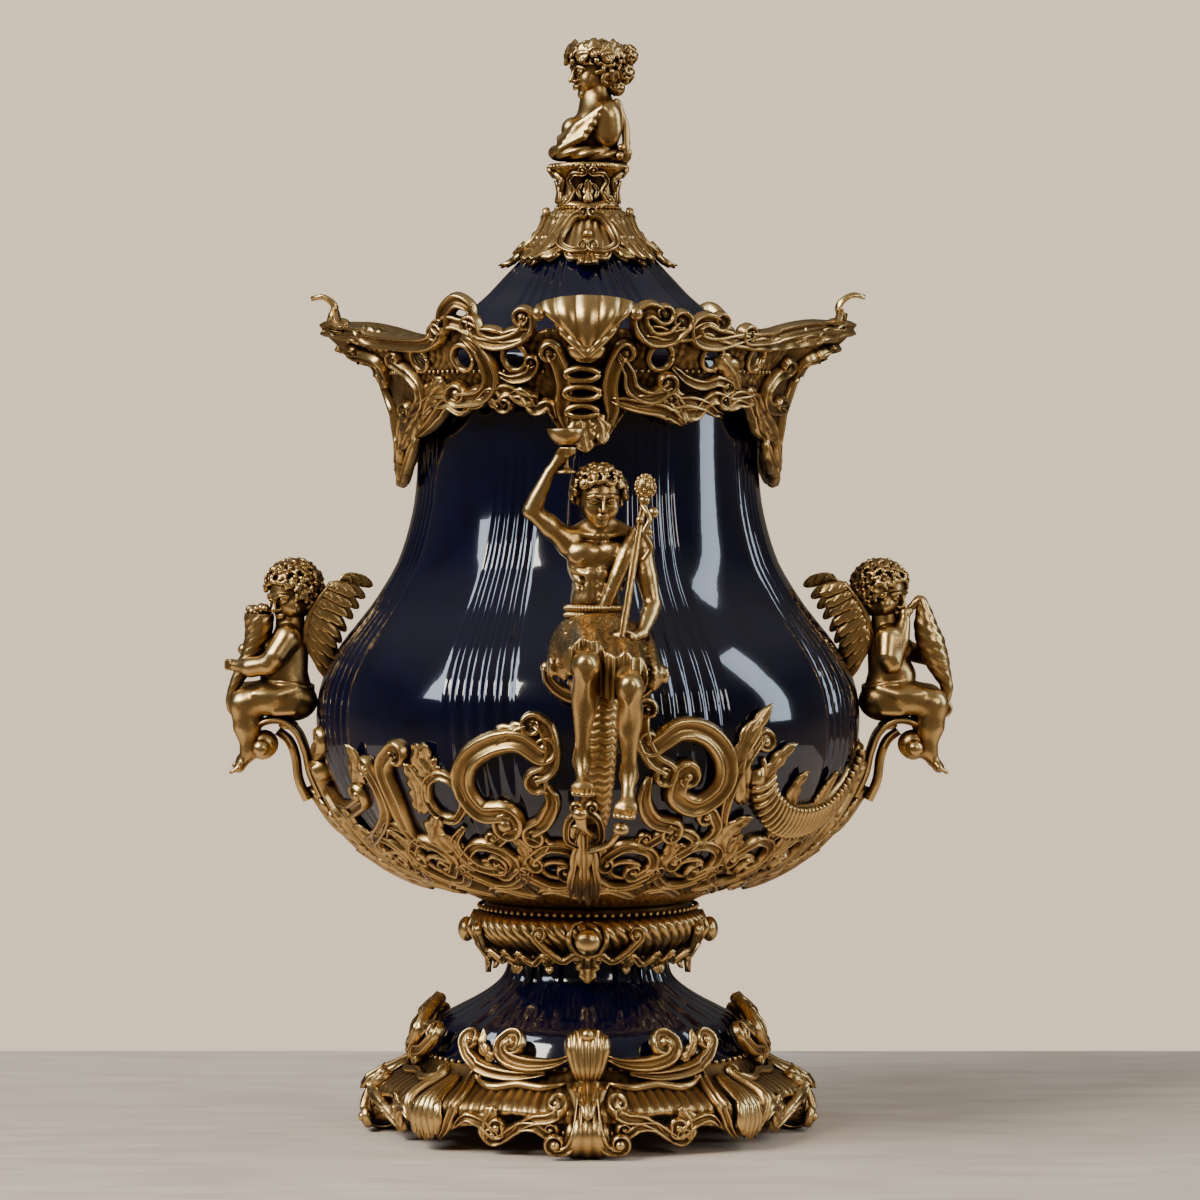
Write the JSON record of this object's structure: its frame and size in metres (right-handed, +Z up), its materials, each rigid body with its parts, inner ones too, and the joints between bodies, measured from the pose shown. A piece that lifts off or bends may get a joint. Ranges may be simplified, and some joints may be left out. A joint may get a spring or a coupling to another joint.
{
  "type": "mantel urn",
  "caption": "Covered mantel urn: dark blue porcelain vase, foot and lid in scrolled gilt bronze mounts, with a seated youth, winged putti and a draped bust.",
  "frame": {"origin": "on the surface that the urn stands on, under the axis of the vase", "axes": "+Z up along the vase's axis; the seated figure's side faces -Y; +X is to the right seen from the front"},
  "size_m": [0.4385, 0.396, 0.6547],
  "materials": {
    "gilt_bronze": "antique gilt, burnished on the edges and dark in the recesses",
    "cobalt_porcelain": "high gloss glaze"
  },
  "bodies": {
    "root": {"base": "gilt_bronze", "foot": "cobalt_porcelain", "collar": "gilt_bronze", "urn_body": "cobalt_porcelain", "cradle": "gilt_bronze", "front_bracket": "gilt_bronze", "seated_figure": "gilt_bronze", "bracket_left": "gilt_bronze", "bracket_right": "gilt_bronze", "putto_left": "gilt_bronze", "putto_right": "gilt_bronze", "gallery": "gilt_bronze", "lid": "cobalt_porcelain", "lid_cap": "gilt_bronze", "finial_pedestal": "gilt_bronze", "finial_bust": "gilt_bronze"}
  },
  "joints": []
}
